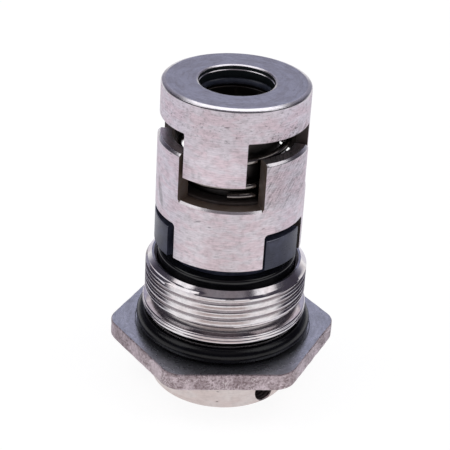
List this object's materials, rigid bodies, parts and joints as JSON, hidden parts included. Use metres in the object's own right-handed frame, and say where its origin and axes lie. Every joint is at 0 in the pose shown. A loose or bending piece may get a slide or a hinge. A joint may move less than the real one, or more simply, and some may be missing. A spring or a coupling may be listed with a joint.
{
  "type": "cartridge mechanical seal",
  "caption": "Cartridge mechanical seal: hexagon gland with threaded barrel, slotted drive sleeve over a spring, driver cap and set-screw collar, for a pump shaft.",
  "frame": {"origin": "centre of the set-screw collar's bottom face, on the shaft axis", "axes": "+Z along the shaft axis, from the dry end's collar up to the wet end's driver cap; -Y is the side that faces the camera"},
  "size_m": [0.039, 0.0366, 0.056],
  "materials": {
    "turned_steel": "fine turned stainless steel with a soft grain round the axis and small handling nicks",
    "gland_steel": "stainless casting, turned bright on barrel and hexagon face, rough as cast on the hexagon's sides",
    "spring_steel": "drawn stainless spring wire",
    "carbide": "dense dark grey carbide, ground and lapped",
    "seat_carbide": "black carbide, lapped and glossy",
    "rubber": "black moulded rubber, lightly greased",
    "screw_steel": "plain stainless set screw"
  },
  "bodies": {
    "rotor": {"shaft_sleeve": "turned_steel", "driver_cap": "turned_steel", "shaft_o_ring": "rubber", "spring": "spring_steel"},
    "thrust": {"thrust_washer": "turned_steel"},
    "drive": {"drive_sleeve": "turned_steel"},
    "rotary_ring": {"rotary_seal_ring": "carbide", "ring_o_ring": "rubber"},
    "gland": {"seal_carrier": "gland_steel", "stationary_seat": "seat_carbide", "seat_o_ring": "rubber", "carrier_o_ring": "rubber"},
    "screw_1": {"set_screw_1": "screw_steel"},
    "screw_2": {"set_screw_2": "screw_steel"},
    "screw_3": {"set_screw_3": "screw_steel"}
  },
  "joints": [
    {"name": "head_travel", "type": "slide", "parent": "rotor", "child": "thrust", "axis": [0, 0, 1], "range_m": [0, 0.0035], "stiffness_N_per_m": 1200, "springref_m": -0.008, "deforming": ["spring"]},
    {"name": "drive_play", "type": "hinge", "parent": "thrust", "child": "drive", "pos_m": [0, 0, 0.03837], "axis": [0, 0, 1], "range_deg": [-15.2, 2.8]},
    {"name": "ring_play", "type": "hinge", "parent": "drive", "child": "rotary_ring", "pos_m": [0, 0, 0.02707], "axis": [0, 0, 1], "range_deg": [-1.7, 7.5]},
    {"name": "gland_turn", "type": "hinge", "parent": "rotary_ring", "child": "gland", "pos_m": [0, 0, 0.0253], "axis": [0, 0, 1], "continuous": true},
    {"name": "screw_1_turn_in", "type": "slide", "parent": "rotor", "child": "screw_1", "axis": [0.6561, -0.7547, 0], "range_m": [-0.00035, 0.00195]},
    {"name": "screw_2_turn_in", "type": "slide", "parent": "rotor", "child": "screw_2", "axis": [0.3256, 0.9455, 0], "range_m": [-0.00035, 0.00195]},
    {"name": "screw_3_turn_in", "type": "slide", "parent": "rotor", "child": "screw_3", "axis": [-0.9816, -0.1908, 0], "range_m": [-0.00035, 0.00195]}
  ]
}
